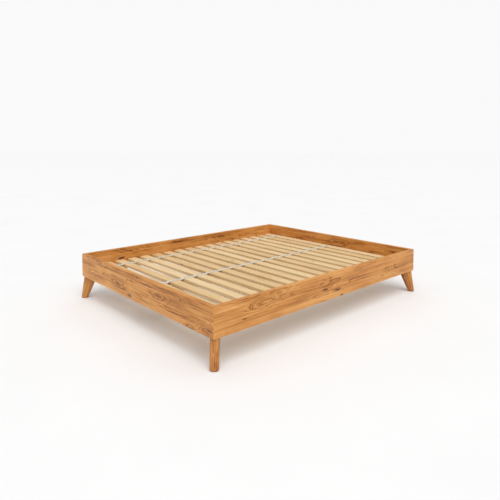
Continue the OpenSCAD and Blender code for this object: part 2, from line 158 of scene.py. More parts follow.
class Recipe(Sums):
    """A shader tree that is written as a list of steps."""

    def __init__(self, name, owner=None, shader="Principled BSDF"):
        """Starts a new material, or opens the tree of a given material or world."""
        self.material = owner or bpy.data.materials.new(name)
        self.material.use_nodes = True
        self.tree = self.material.node_tree
        self.shader = self.tree.nodes[shader]

    def wire(self, socket, value):
        if isinstance(value, bpy.types.NodeSocket):
            self.tree.links.new(value, socket)
        elif value is not None:
            socket.default_value = value

    def add(self, kind, *values, out=0, named=None, **settings):
        node = self.tree.nodes.new("ShaderNode" + kind)
        for key, value in settings.items():
            setattr(node, key, value)
        for socket, value in zip(node.inputs, values):
            self.wire(socket, value)
        for key, value in (named or {}).items():
            self.wire(node.inputs[key], value)
        return node.outputs[out]

    def math(self, operation, *values):
        return self.add("Math", *values, operation=operation)

    def vector(self, x, y, z):
        return self.add("CombineXYZ", x, y, z)

    def parts(self, vector):
        node = self.tree.nodes.new("ShaderNodeSeparateXYZ")
        self.wire(node.inputs[0], vector)
        return node.outputs[0], node.outputs[1], node.outputs[2]

    def noise(self, vector, scale=1.0, detail=2.0, rough=0.5):
        named = {"Vector": vector, "Scale": scale, "Detail": detail, "Roughness": rough}
        return self.add("TexNoise", named=named)

    def spread(self, value, low, high, to_low=0.0, to_high=1.0):
        """Stretches low..high to to_low..to_high, smoothly and with both ends held."""
        return self.add("MapRange", value, low, high, to_low, to_high, interpolation_type="SMOOTHSTEP")

    def blend(self, factor, first, second, how="MIX"):
        node = self.tree.nodes.new("ShaderNodeMix")
        node.data_type = "RGBA"
        node.blend_type = how
        self.wire(node.inputs[0], factor)
        self.wire(node.inputs[6], first)
        self.wire(node.inputs[7], second)
        return node.outputs[2]

    def ramp(self, value, *stops):
        node = self.tree.nodes.new("ShaderNodeValToRGB")
        elements = node.color_ramp.elements
        while len(elements) < len(stops):
            elements.new(0.5)
        for element, (place, colour) in zip(elements, stops):
            element.position = place
            element.color = (*colour, 1.0)
        self.wire(node.inputs[0], value)
        return node.outputs[0]

    def finish(self, colour, roughness, height, distance, strength=0.5, round_edge=None):
        """Wires colour, roughness and relief. round_edge softens sharp arrises, in metres."""
        self.wire(self.shader.inputs["Base Color"], colour)
        self.wire(self.shader.inputs["Roughness"], roughness)
        self.shader.inputs["Specular IOR Level"].default_value = SHINE
        soft = self.add("Bevel", round_edge, samples=BEVEL_SAMPLES) if round_edge else None
        named = {"Strength": strength, "Distance": distance, "Height": height, "Normal": soft}
        self.wire(self.shader.inputs["Normal"], self.add("Bump", named=named))
        return self.material

    def worn_edge(self, radius):
        """1 along the arrises and 0 on the flats, from how far a rounded normal turns away."""
        rounded = self.add("Bevel", radius, samples=BEVEL_SAMPLES)
        flat = self.add("NewGeometry", out=1)
        turned = self.add("VectorMath", rounded, flat, out=1, operation="DOT_PRODUCT")
        return self.spread(turned, 0.98, 0.80)


def paint(names, material):
    """Gives parts of the frame a finish. Their meshes stay as they are."""
    for name in names:
        part = nodes[name]
        for socket in part.material_slots:
            socket.material = material
        if not part.material_slots:
            part.data.materials.append(material)
    return len(names)


def srgb(red, green, blue):
    """A colour from the usual 0-255 values, made linear."""
    def linear(c):
        c = c / 255
        return c / 12.92 if c <= 0.04045 else ((c + 0.055) / 1.055) ** 2.4
    return (linear(red), linear(green), linear(blue))


def solid(colour, factor=1.0):
    """A colour made darker or lighter, with the fourth value that a socket wants."""
    return (*(min(1.0, c * factor) for c in colour), 1.0)


print("recipe helper ready")

# %% [markdown]
# ## Oak as a solid, not as wallpaper
# Grain is a cut through a tree. Each stave of a rail is thought of as a bar sawn from its own trunk:
# the distance to that trunk's centre gives the growth rings, slow noise bends the trunk so that the
# rings surface as arches along the face, and fine noise stretched along the bar gives fibres and pores.
# Because the pattern fills the whole bar, the top edge, the face and the end grain agree with each
# other at every corner, which an unwrapped image would not do.
#
# Wild oak has knots. A branch pushes the rings aside, so each knot adds a smooth bump to the ring
# distance before the rings are cut, and darkens its own core afterwards. Away from knots the rings show
# only in patches, because a stave that is sawn nearly along its rings hardly crosses them.


# %% The wood recipe
def bar_space(r, grain):
    """Along, across and into the bar. The grain is X, Y or Z of the frame, or a stored vector."""
    if grain == "stored":
        return r.parts(r.add("Attribute", attribute_name="grain", out=1))
    x, y, z = r.parts(r.add("TexCoord", out=3))
    return {"X": (x, z, y), "Y": (y, z, x), "Z": (z, x, y), "slat": (x, y, z)}[grain]


def stave_number(r, across, joints):
    number = 0.0
    for joint in joints:
        number = r.plus(number, r.math("GREATER_THAN", across, joint))
    return number


KNOT_SWAY = (0.09, 0.022)    # how far noise pulls a knot out of shape, along and across the bar
KNOT_SLIM = 0.30         # distance along the bar counts for less, so that knots are long
KNOT_PUSH = 1.1          # how far the rings give way, in sizes of the knot
KNOT_CORE = 0.30         # the dark core's squared size, as a share of the knot's


def knot_push(r, along, across, knots, bend, ripple):
    """Two sums over the knots: how far the rings move, and how dark the cores are."""
    along = r.total(along, (bend, KNOT_SWAY[0]))
    across = r.total(across, (ripple, KNOT_SWAY[1]))
    push, core = 0.0, 0.0
    for place, height, size, dark in knots:
        dx = r.times(r.minus(along, place), KNOT_SLIM)
        dy = r.minus(across, height)
        squared = r.plus(r.times(dx, dx), r.times(dy, dy))
        near = r.math("EXPONENT", r.math("DIVIDE", squared, -size * size))
        push = r.total(push, (near, KNOT_PUSH * size))
        tight = r.math("EXPONENT", r.math("DIVIDE", squared, -size * size * KNOT_CORE))
        core = r.total(core, (tight, dark))
    return push, core


# Noise in the wood: waves per metre along the bar and across it, detail and roughness
GRAIN_NOISE = {
    "bend": (1.5, 7.0, 2.0, 0.5),        # bends the trunk
    "sway": (7.0, 40.0, 2.0, 0.5),       # pulls knots out of shape along the bar
    "ripple": (9.0, 60.0, 3.0, 0.5),     # shakes the rings and the rims of knots
    "streak": (2.2, 95.0, 4.0, 0.6),
    "patch": (3.5, 14.0, 3.0, 0.5),
    "zone": (2.6, 17.0, 2.0, 0.5),       # decides where the rings show
    "fibre": (26.0, 900.0, 3.0, 0.65),
    "pores": (110.0, 2300.0, 1.0, 0.5),
}
TRUNK_SIDE = 0.10        # how far apart the trunks' centres lie, across the bar
TRUNK_DEEP = (0.05, 0.03)    # the same into the bar, and how deep the nearest lies
TRUNK_LEAN = 0.012       # how far a trunk drifts off the bar's line, for each metre
BEND_REACH, RIPPLE_REACH = 0.075, 0.0045     # how far noise moves the rings
BROAD_RINGS = 3.7        # growth rings in one broad band of tone
TONE_START = 0.56
TONE_CHANCE, TONE_BACK = 0.30, 0.13    # how much staves differ, and what keeps their mean in place


def wood(name, grain, tones, joints=(), knots=(), middle=0.0, seed=0.0, board=None,
         ring=0.0042, contrast=1.0, roughness=0.46, pore=1.0, edge=0.0022):
    """A solid wood finish. tones are the dark, middle and light colours."""
    r = Recipe(name)
    along, across, depth = bar_space(r, grain)
    number = stave_number(r, across, joints)
    if board:
        first, pitch = board
        number = r.math("FLOOR", r.math("DIVIDE", r.minus(across, first), pitch))
        across_in = r.minus(across, r.total(first, (number, pitch)))
    else:
        across_in = r.minus(across, middle)
    own = r.add("TexWhiteNoise", noise_dimensions="1D", named={"W": r.plus(number, seed)}, out=1)
    chance_a, chance_b, chance_c = r.parts(own)
    s = r.total(r.plus(along, seed), (number, 7.31))

    def layer(kind, into=None):
        """Noise drawn out along the bar. into takes the place of the depth."""
        length_scale, cross_scale, detail, rough = GRAIN_NOISE[kind]
        into = r.times(depth, cross_scale) if into is None else into
        at = r.vector(r.times(s, length_scale), r.times(across_in, cross_scale), into)
        return r.noise(at, 1.0, detail, rough)

    bend, ripple, sway = layer("bend"), layer("ripple"), r.minus(layer("sway", seed), 0.5)
    off_across = r.minus(across_in, r.total(-TRUNK_SIDE / 2, (chance_a, TRUNK_SIDE)))
    off_depth = r.plus(depth, r.total(TRUNK_DEEP[1] + seed * 0.001, (chance_b, TRUNK_DEEP[0])))
    off_depth = r.minus(off_depth, r.times(s, TRUNK_LEAN))
    far = r.math("SQRT", r.plus(r.times(off_across, off_across), r.times(off_depth, off_depth)))
    far = r.total(far, (bend, BEND_REACH), (ripple, RIPPLE_REACH))
    push, core = knot_push(r, along, r.minus(across, KNOT_SWAY[1] / 2), knots, sway, ripple)
    far = r.plus(far, push)

    ring_line = r.spread(r.math("FRACT", r.math("DIVIDE", far, ring)), 0.0, 0.55, 1.0, 0.0)
    broad = r.wave(far, ring * BROAD_RINGS)
    streak, patch, fibre = layer("streak"), layer("patch"), layer("fibre")
    pores = r.times(r.spread(layer("pores"), 0.60, 0.72), r.total(0.2, (ring_line, 0.8)))
    lively = r.spread(r.total(layer("zone", seed), (push, 14.0)), 0.50, 0.72, 0.10, 1.0)

    tone = r.total(TONE_START,
                   (r.minus(streak, 0.5), 0.95 * contrast), (r.minus(patch, 0.5), 0.75 * contrast),
                   (r.times(ring_line, lively), -0.42 * contrast),
                   (r.times(broad, lively), 0.13 * contrast), (r.minus(fibre, 0.5), 0.30 * contrast))
    tone = r.total(r.minus(tone, TONE_BACK), (chance_c, TONE_CHANCE))
    dark, mid, light = tones
    colour = r.ramp(tone, (0.0, dark), (0.5, mid), (1.0, light))
    colour = r.blend(r.times(pores, 0.45 * pore), colour, solid(dark, 0.35))
    for joint in joints:
        gap = r.math("ABSOLUTE", r.minus(across, joint))
        colour = r.blend(r.spread(gap, 0.0008, 0.0002, 0.0, 0.35), colour, solid(dark, 0.6))
    if knots:
        rough_core = r.times(core, r.total(0.3, (ripple, 1.4)))
        colour = r.blend(r.spread(rough_core, 0.10, 0.95, 0.0, 0.93), colour, solid(dark, 0.16))
    worn = r.worn_edge(edge * 1.6)
    colour = r.blend(r.times(worn, 0.28), colour, solid(light, 1.12))

    gloss = r.total(roughness, (r.minus(patch, 0.5), 0.16), (pores, 0.20), (worn, -0.05))
    relief = r.total(r.times(fibre, 0.55), (pores, -pore), (ring_line, -0.25))
    relief = r.total(relief, (core, -0.8)) if knots else relief
    return r.finish(colour, gloss, relief, 0.0003, 0.55, edge)


print("wood recipe ready")

# %% [markdown]
# ## The four rails
# Every rail is glued up from four staves of different height, so each has three glue joints, at the
# same heights all round. The foot rail and the right side rail carry the knots that can be seen: dark
# ones near the lower edge and swirls higher up. Head and left rail get their own, so that no two rails
# are copies. Knots are given as place along the rail, height over the rail's underside, size and
# darkness.

# %% Rails
OAK_TONES = (srgb(134, 74, 22), srgb(207, 138, 67), srgb(234, 174, 102))
GLUE_JOINTS = [RAIL_UNDER + height for height in (0.040, 0.064, 0.134)]
RAIL_KNOTS = {
    "rail_foot": [(-0.075, 0.023, 0.018, 1.0), (-0.236, 0.073, 0.030, 0.25), (0.029, 0.165, 0.016, 0.45),
                  (0.522, 0.139, 0.010, 0.9), (-0.514, 0.155, 0.022, 0.4), (0.784, 0.042, 0.018, 0.6),
                  (0.609, 0.013, 0.014, 0.4), (0.290, 0.110, 0.024, 0.2)],
    "rail_right": [(-0.100, 0.076, 0.017, 0.95), (0.017, 0.051, 0.016, 1.0), (0.069, 0.005, 0.012, 1.0),
                   (-0.674, 0.115, 0.026, 0.35), (-0.534, 0.150, 0.020, 0.45),
                   (-0.590, 0.118, 0.016, 0.5), (0.560, 0.045, 0.016, 0.4)],
    "rail_head": [(-0.480, 0.060, 0.018, 0.9), (0.120, 0.120, 0.026, 0.4), (0.560, 0.030, 0.015, 0.8)],
    "rail_left": [(-0.720, 0.095, 0.020, 0.9), (-0.180, 0.030, 0.016, 0.7), (0.330, 0.140, 0.024, 0.4),
                  (0.700, 0.060, 0.014, 0.9)],
}
# How strongly each rail's grain stands out
RAIL_FIGURE = {"rail_foot": 1.85, "rail_head": 1.5, "rail_left": 1.5, "rail_right": 1.35}


def paint_rails():
    for number, (name, knots) in enumerate(RAIL_KNOTS.items()):
        placed = [(a, RAIL_UNDER + h, size, dark) for a, h, size, dark in knots]
        grain = "X" if name in ("rail_foot", "rail_head") else "Y"
        finish = wood("oiled_oak_" + name, grain, OAK_TONES, GLUE_JOINTS, placed,
                      middle=(RAIL_UNDER + RAIL_TOP) / 2, seed=3.0 + 11.7 * number,
                      contrast=RAIL_FIGURE[name])
        paint([name], finish)
    return len(RAIL_KNOTS)


print(paint_rails(), "rails finished")

# %% [markdown]
# ## The legs
# A leg is a bar with softly rounded edges that tapers towards the floor and leans out along the
# diagonal. The frame's own leg has the right size but flat facets, so it is lofted again: one rounded
# rectangle for each level, read from the frame's leg at its top and foot, with the last few levels
# drawn in to break the edge at the floor. Its grain follows the leaning bar, so the grain direction is
# stored on the mesh as a vector.


# %% Mesh helpers
def new_piece(name, mesh_builder, materials=()):
    """A mesh object at the origin, from a bmesh."""
    mesh = bpy.data.meshes.new(name)
    bmesh.ops.recalc_face_normals(mesh_builder, faces=mesh_builder.faces)
    mesh_builder.to_mesh(mesh)
    mesh_builder.free()
    piece = into_scene(name, mesh)
    for material in materials:
        mesh.materials.append(material)
    return piece


def smooth(piece, sharp_from=40.0):
    """Smooth shading, with edges kept crisp where faces turn by more than an angle."""
    limit = math.radians(sharp_from)
    bm = bmesh.new()
    bm.from_mesh(piece.data)
    for face in bm.faces:
        face.smooth = True
    for edge in bm.edges:
        edge.smooth = len(edge.link_faces) == 2 and edge.calc_face_angle(0.0) < limit
    bm.to_mesh(piece.data)
    bm.free()
    return piece


def loft(bm, rings):
    """Joins rings of points, all with the same count, and closes both ends."""
    rows = [[bm.verts.new(p) for p in ring] for ring in rings]
    count = len(rings[0])
    for low, high in zip(rows, rows[1:]):
        for i in range(count):
            j = (i + 1) % count
            bm.faces.new((low[i], low[j], high[j], high[i]))
    for row in (rows[0], rows[-1]):
        middle = bm.verts.new(sum((v.co for v in row), Vector()) / count)
        for i in range(count):
            bm.faces.new((row[i], row[(i + 1) % count], middle))


def ring_at(height, reach, segments, centre=(0.0, 0.0)):
    """Points round a vertical axis. reach gives the radius at each angle."""
    points = []
    x, y = centre
    for k in range(segments):
        turn = 2 * math.pi * k / segments
        out = reach(turn)
        points.append(Vector((x + out * math.cos(turn), y + out * math.sin(turn), height)))
    return points


def lathe(bm, profile, segments, centre, ripple):
    """Turns a profile of (radius, height) points round a vertical axis, with a ripple in the radius."""
    loft(bm, [ring_at(height, lambda turn: radius * ripple(turn, radius, height), segments, centre)
              for radius, height in profile])


def rounded_section(low, high, half, radius, steps=8):
    """Points round a rectangle from low to high and -half to half, with round corners."""
    points = []
    radius = min(radius, half * 0.98, (high - low) * 0.49)
    for cx, cy, start in ((high - radius, half - radius, 0), (low + radius, half - radius, 90),
                          (low + radius, radius - half, 180), (high - radius, radius - half, 270)):
        for k in range(steps + 1):
            angle = math.radians(start + 90 * k / steps)
            points.append((cx + radius * math.cos(angle), cy + radius * math.sin(angle)))
    return points


print("mesh helpers ready")

# %% Legs
LEG_TONES = (srgb(100, 52, 18), srgb(170, 104, 48), srgb(214, 150, 82))
LEG_ROUND = 0.018
LEG_LEVELS = 16
LEVEL_NEAR = 0.001       # points this near to a level belong to it
LEG_SLANT = 1.06         # length of the leaning bar for each metre of height
FOOT_BREAK = 0.002       # how far the edge at the floor is broken
FOOT_LEVELS = 4
LEG_SEEDS = {"foot_left": 1.7, "foot_right": 5.2, "head_left": 9.9, "head_right": 14.1}
CORNERS = tuple(LEG_SEEDS)


def leg_span(name, out, at_top):
    """How far the frame's leg reaches along its diagonal, and the level, at its top or foot."""
    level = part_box(name)[1 if at_top else 0].z
    ends = [v.co.dot(out) for v in nodes[name].data.vertices if abs(v.co.z - level) < LEVEL_NEAR]
    return min(ends), max(ends), level


def make_leg(corner):
    name = "leg_" + corner
    low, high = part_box(name)
    middle = (low + high) / 2
    out = Vector((math.copysign(1, middle.x), math.copysign(1, middle.y), 0)).normalized()
    side = Vector((-out.y, out.x, 0))
    foot_in, foot_out, z_foot = leg_span(name, out, False)
    top_in, top_out, z_top = leg_span(name, out, True)
    across = [v.co.dot(side) for v in nodes[name].data.vertices]
    side_middle, half = (max(across) + min(across)) / 2, (max(across) - min(across)) / 2
    rings = []
    above = z_top - z_foot - FOOT_BREAK
    levels = [FOOT_BREAK * (1 - math.cos(math.pi / 2 / FOOT_LEVELS * k)) for k in range(FOOT_LEVELS + 1)]
    levels += [FOOT_BREAK + above * k / LEG_LEVELS for k in range(1, LEG_LEVELS + 1)]
    for rise in levels:
        part = rise / (z_top - z_foot)
        drawn_in = FOOT_BREAK - math.sqrt(max(0.0, FOOT_BREAK**2 - max(0.0, FOOT_BREAK - rise) ** 2))
        near = foot_in + (top_in - foot_in) * part + drawn_in
        far = foot_out + (top_out - foot_out) * part - drawn_in
        section = rounded_section(near, far, half - drawn_in, LEG_ROUND)
        up = Vector((0, 0, z_foot + rise))
        rings.append([out * a + side * (side_middle + b) + up for a, b in section])
    bm = bmesh.new()
    loft(bm, rings)
    piece = smooth(new_piece(name + "_wood", bm))
    grain = piece.data.attributes.new("grain", "FLOAT_VECTOR", "POINT")
    for vertex, value in zip(piece.data.vertices, grain.data):
        p = vertex.co
        part = (p.z - z_foot) / (z_top - z_foot)
        centre = (foot_in + foot_out) / 2 * (1 - part) + (top_in + top_out) / 2 * part
        value.vector = (p.z * LEG_SLANT + LEG_SEEDS[corner], p.dot(out) - centre,
                        p.dot(side) - side_middle)
    return piece


leg_oak = wood("oiled_oak_legs", "stored", LEG_TONES, seed=2.0, ring=0.0040, contrast=1.7,
               roughness=0.44, edge=0.0015)
for corner in CORNERS:
    leg = make_leg(corner)
    leg.data.materials.append(leg_oak)
    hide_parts("leg_" + corner)
    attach(leg, "frame")
print(len(CORNERS), "legs lofted")

# %% [markdown]
# ## Inner woodwork
# Blocks, ledgers, beam and centre leg are hidden under the mattress. They are planed but not oiled, so
# they use the same solid recipe with paler tones and a duller surface. Beech for the blocks has almost
# no pores; the ledgers and the beam are offcuts of the rails' oak.

# %% Blocks, ledgers, beam and centre leg
BEECH_TONES = (srgb(168, 120, 82), srgb(202, 158, 116), srgb(222, 184, 144))
PLAIN_OAK_TONES = (srgb(160, 112, 66), srgb(204, 160, 108), srgb(224, 188, 140))
beech = wood("planed_beech", "X", BEECH_TONES, middle=RAIL_UNDER, seed=21.0, ring=0.003, contrast=0.6,
             roughness=0.6, pore=0.3, edge=0.001)
plain_oak = wood("planed_oak", "Y", PLAIN_OAK_TONES, middle=RAIL_UNDER, seed=33.0, contrast=0.8,
                 roughness=0.58, edge=0.0015)
post_oak = wood("planed_oak_post", "Z", LEG_TONES, seed=41.0, contrast=0.9, roughness=0.5, edge=0.0015)
paint(["corner_block_" + corner for corner in CORNERS], beech)
paint(["ledger_left", "ledger_right", "centre_beam"], plain_oak)
paint(["centre_leg"], post_oak)
print("inner woodwork finished")

# %% [markdown]
# ## The slats
# The slats are sawn spruce: pale, with soft wide rings and small brown knots. All eighteen share one
# finish. The recipe works out from the Y coordinate which slat a point belongs to, and draws that
# slat's own trunk, tone and grain from the number, so that no two slats match. A second layer drops
# knots where a coarse cell pattern happens to have one.


# %% Slat finish
def slat_finish():
    tones = (srgb(190, 146, 92), srgb(222, 188, 138), srgb(238, 213, 170))
    start = SLAT_MIDDLES[0] - SLAT_PITCH / 2
    material = wood("sawn_spruce", "slat", tones, board=(start, SLAT_PITCH), seed=57.0, ring=0.0034,
                    contrast=0.75, roughness=0.62, pore=0.25, edge=0.002)
    r = Recipe("sawn_spruce", material)
    x, y, z = r.parts(r.add("TexCoord", out=3))
    place = r.vector(r.times(x, 2.6), r.times(y, 9.0), r.times(z, 6.0))
    cell = r.add("TexVoronoi", named={"Vector": place, "Scale": 1.0, "Randomness": 0.9})
    ragged = r.total(cell, (r.noise(r.vector(x, y, z), 90.0, 2.0), 0.05))
    knot = r.spread(ragged, 0.125, 0.055, 0.0, 0.75)
    under = r.shader.inputs["Base Color"].links[0].from_socket
    r.wire(r.shader.inputs["Base Color"], r.blend(knot, under, solid(srgb(118, 70, 34))))
    return material


spruce = slat_finish()
print(paint(SLATS, spruce), "slats finished")

# %% [markdown]
# ## Metal, plastic and felt
# Each of these is plain in colour, so the finish has to come from the surface. Powder coat has a fine
# orange-peel relief, zinc plating has a mottled brightness with a faint blue and yellow cast, the
# moulded foot has a sandy texture, and felt is a mat of fibres that scatters light at grazing angles.


# %% Small finishes
def powder_coat():
    r = Recipe("black_powder_coat")
    at = r.add("TexCoord", out=3)
    peel = r.noise(at, 1400.0)
    wide = r.noise(at, 60.0, 3.0)
    worn = r.worn_edge(0.0012)
    colour = r.ramp(wide, (0.3, (0.012, 0.012, 0.013)), (0.7, (0.022, 0.022, 0.024)))
    colour = r.blend(r.times(worn, 0.35), colour, (0.10, 0.10, 0.105, 1.0))
    return r.finish(colour, r.spread(wide, 0.2, 0.8, 0.42, 0.56), peel, 0.00015, 0.4, 0.0006)


def zinc_plate():
    r = Recipe("zinc_plate")
    r.shader.inputs["Metallic"].default_value = 1.0
    at = r.add("TexCoord", out=3)
    mottle = r.noise(at, 420.0, 4.0, 0.6)
    cast = r.noise(at, 35.0)
    bright = r.ramp(mottle, (0.3, srgb(150, 152, 154)), (0.7, srgb(196, 198, 199)))
    tint = r.ramp(cast, (0.35, srgb(236, 240, 255)), (0.65, srgb(255, 246, 220)))
    colour = r.blend(1.0, bright, tint, "MULTIPLY")
    worn = r.worn_edge(0.0008)
    colour = r.blend(r.times(worn, 0.5), colour, solid(srgb(226, 226, 224)))
    return r.finish(colour, r.spread(mottle, 0.2, 0.8, 0.26, 0.44), mottle, 0.00008, 0.35, 0.0004)


def moulded_plastic():
    r = Recipe("moulded_black_plastic")
    at = r.add("TexCoord", out=3)
    sand = r.noise(at, 2600.0)
    dust = r.noise(at, 120.0, 4.0)
    colour = r.ramp(dust, (0.35, (0.014, 0.014, 0.015)), (0.75, (0.034, 0.033, 0.032)))
    return r.finish(colour, r.spread(dust, 0.2, 0.8, 0.48, 0.66), sand, 0.0001, 0.5, 0.0005)


def pressed_felt():
    r = Recipe("pressed_felt")
    r.shader.inputs["Sheen Weight"].default_value = 0.4
    r.shader.inputs["Sheen Roughness"].default_value = 0.5
    at = r.add("TexCoord", out=3)
    fibres = r.add("TexNoise", named={"Vector": at, "Scale": 900.0, "Detail": 5.0, "Roughness": 0.7,
                                      "Distortion": 1.5})
    colour = r.ramp(fibres, (0.25, srgb(66, 58, 50)), (0.6, srgb(112, 101, 88)),
                    (0.85, srgb(150, 139, 122)))
    return r.finish(colour, 0.92, fibres, 0.0008, 0.9)


powder, zinc, plastic, felt = powder_coat(), zinc_plate(), moulded_plastic(), pressed_felt()
paint(["beam_shoe_foot", "beam_shoe_head", "centre_leg_plate"], powder)
paint(["centre_leg_insert", "rail_inserts", "leg_studs", "leg_washers", "leg_nuts", "block_washers",
       "block_bolts", "post_screws"], zinc)
print("metal, plastic and felt mixed")

# %% [markdown]
# ## Felt glides
# A glide is a punched disc of felt. Its edge is soft and a little uneven, which a bevel alone would
# not show, so the profile is turned on a lathe whose radius wavers by a fraction of a millimetre.

# %% Glides
GLIDE_EDGE = 0.0012      # radius of the soft lower edge
GLIDE_SLACK = 0.0003     # how far the felt stays inside the frame's disc
GLIDE_STEPS = 5


def make_glide(corner):
    low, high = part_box("glide_" + corner)
    middle, radius = (low + high) / 2, (high.x - low.x) / 2 - GLIDE_SLACK
    profile = [(radius * 0.5, low.z)]
    for k in range(GLIDE_STEPS + 1):
        turn = math.radians(90 * k / GLIDE_STEPS)
        profile.append((radius - GLIDE_EDGE * (1 - math.sin(turn)),
                        low.z + GLIDE_EDGE * (1 - math.cos(turn))))
    profile += [(radius, (low.z + high.z) / 2), (radius - 0.0003, high.z - 0.0004),
                (radius - 0.0008, high.z), (radius * 0.5, high.z)]

    def waver(angle, *_):
        return 1 - 0.008 * (0.5 + 0.3 * math.sin(7 * angle) + 0.2 * math.sin(17 * angle + 1))

    bm = bmesh.new()
    lathe(bm, profile, 72, (middle.x, middle.y), waver)
    piece = smooth(new_piece("glide_" + corner + "_felt", bm, [felt]), 60)
    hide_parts("glide_" + corner)
    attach(piece, "frame")


for corner in CORNERS:
    make_glide(corner)
print(len(CORNERS), "glides turned")

# %% [markdown]
# ## The adjustable foot
# The middle of the bed stands on a foot that is screwed down until it meets the floor. Its plate is a
# moulded disc with grip ribs round the rim, and its spindle is a real screw: a helix of thread around
# a core, with a hexagon for the spanner. A helix follows a rule, so Geometry Nodes make it: a spiral
# curve carries a small three-sided profile, and the turns come from the pitch that is typed in.


# %% Geometry Nodes helper
class Growth(Sums):
    """A geometry tree with named inputs, and a modifier that bakes it to a plain mesh."""

    def __init__(self, name, inputs):
        self.tree = bpy.data.node_groups.new(name, "GeometryNodeTree")
        face = self.tree.interface
        face.new_socket("Geometry", in_out="INPUT", socket_type="NodeSocketGeometry")
        face.new_socket("Geometry", in_out="OUTPUT", socket_type="NodeSocketGeometry")
        self.ids = {}
        for label, value in inputs.items():
            kind = "NodeSocketFloat" if isinstance(value, float) else "NodeSocketVector"
            socket = face.new_socket(label, in_out="INPUT", socket_type=kind)
            self.ids[label] = (socket.identifier, value)
        self.start = self.tree.nodes.new("NodeGroupInput")
        self.end = self.tree.nodes.new("NodeGroupOutput")

    def given(self):
        """The outputs of the tree's named inputs, in their order."""
        return [self.start.outputs[label] for label in self.ids]

    def add(self, kind, out=0, named=None, **settings):
        node = self.tree.nodes.new(kind)
        for key, value in settings.items():
            setattr(node, key, value)
        for key, value in (named or {}).items():
            socket = node.inputs[key]
            if isinstance(value, bpy.types.NodeSocket):
                self.tree.links.new(value, socket)
            else:
                socket.default_value = value
        return node.outputs[out]

    def math(self, operation, *values):
        return self.add("ShaderNodeMath", named=dict(enumerate(values)), operation=operation)

    def vector(self, **parts):
        return self.add("ShaderNodeCombineXYZ", named=parts)

    def raised(self, geometry, height):
        named = {"Geometry": geometry, "Translation": self.vector(Z=height)}
        return self.add("GeometryNodeTransform", named=named)

    def join(self, *geometries):
        node = self.tree.nodes.new("GeometryNodeJoinGeometry")
        for geometry in geometries:
            self.tree.links.new(geometry, node.inputs[0])
        return node.outputs[0]

    def tube(self, curve, sides, radius):
        """A round profile of a few sides along a curve, closed at both ends."""
        profile = self.add("GeometryNodeCurvePrimitiveCircle", mode="RADIUS",
                           named={"Resolution": sides, "Radius": radius})
        named = {"Curve": curve, "Profile Curve": profile, "Fill Caps": True}
        return self.add("GeometryNodeCurveToMesh", named=named)

    def copies(self, shape, **named):
        """One copy of a shape on every point that the tree is given."""
        named = {"Points": self.start.outputs[0], "Instance": shape, **named}
        return self.add("GeometryNodeInstanceOnPoints", named=named)

    def close(self, geometry, material):
        """Realizes instances, sets the material and ends the tree."""
        real = self.add("GeometryNodeRealizeInstances", named={"Geometry": geometry})
        done = self.add("GeometryNodeSetMaterial", named={"Geometry": real, "Material": material})
        self.tree.links.new(done, self.end.inputs[0])
        return self

    def bake(self, name, points=()):
        """Runs the tree on a mesh of loose points and returns the result as a plain object."""
        seed_mesh = bpy.data.meshes.new(name + "_points")
        seed_mesh.from_pydata([tuple(p) for p in points] or [(0, 0, 0)], [], [])
        carrier = into_scene(name + "_carrier", seed_mesh)
        modifier = carrier.modifiers.new("growth", "NODES")
        modifier.node_group = self.tree
        for identifier, value in self.ids.values():
            modifier[identifier] = value
        bpy.context.view_layer.update()
        graph = bpy.context.evaluated_depsgraph_get()
        mesh = bpy.data.meshes.new_from_object(carrier.evaluated_get(graph), depsgraph=graph)
        mesh.name = name
        carrier.modifiers.clear()
        bpy.data.objects.remove(carrier)
        return into_scene(name, mesh)


print("geometry helper ready")

# %% Spindle thread
SPINDLE_LOW, SPINDLE_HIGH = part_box("foot_spindle")
PAD_LOW, PAD_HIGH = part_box("foot_pad")
THREAD_PITCH = 0.0015
THREAD_OUT = 0.005       # radius over the thread
THREAD_DEEP = 0.0009     # depth of the thread
THREAD_SHORT = 0.001     # how far it ends below the top


def thread_growth():
    length = SPINDLE_HIGH.z - SPINDLE_LOW.z - THREAD_SHORT
    g = Growth("screw_thread", {
        "Turns": length / THREAD_PITCH,
        "Length": length,
        "Core radius": THREAD_OUT - THREAD_DEEP,
        "Thread depth": THREAD_DEEP,
        "Foot height": SPINDLE_LOW.z,
    })
    turns, length, core_radius, deep, foot = g.given()
    spiral = g.add("GeometryNodeCurveSpiral", named={
        "Resolution": 24, "Rotations": turns, "Start Radius": core_radius, "End Radius": core_radius,
        "Height": length})
    core = g.add("GeometryNodeMeshCylinder", named={
        "Vertices": 32, "Radius": core_radius, "Depth": length})
    core = g.raised(core, g.times(length, 0.5))
    return g.close(g.raised(g.join(g.tube(spiral, 3, deep), core), foot), zinc)


spindle = thread_growth().bake("spindle_thread")
print("thread", len(spindle.data.polygons), "faces")

# %% Hexagon and pad
HEX_LOW = PAD_HIGH.z + 0.0015
HEX_TALL = 0.008
HEX_OUT = (SPINDLE_HIGH.x - SPINDLE_LOW.x) / 2
HEX_STEPS = 48
HEX_BEVEL = 0.0011       # height of the turned edge above and below
HEX_NARROW = 0.88        # size of the faces above and below
HEX_CUT = 0.985          # how far the six corners are turned down
PAD_RIBS = 24
PAD_ROUND = 0.003


def make_hexagon():
    def side(turn):
        return HEX_OUT * math.cos(math.pi / 6) / math.cos(turn % (math.pi / 3) - math.pi / 6)

    bm = bmesh.new()
    loft(bm, [ring_at(HEX_LOW + rise, lambda turn: min(side(turn), HEX_OUT * reach), HEX_STEPS)
              for reach, rise in ((HEX_NARROW, 0.0), (HEX_CUT, HEX_BEVEL),
                                  (HEX_CUT, HEX_TALL - HEX_BEVEL), (HEX_NARROW, HEX_TALL))])
    return smooth(new_piece("spindle_hexagon", bm, [zinc]), 25)


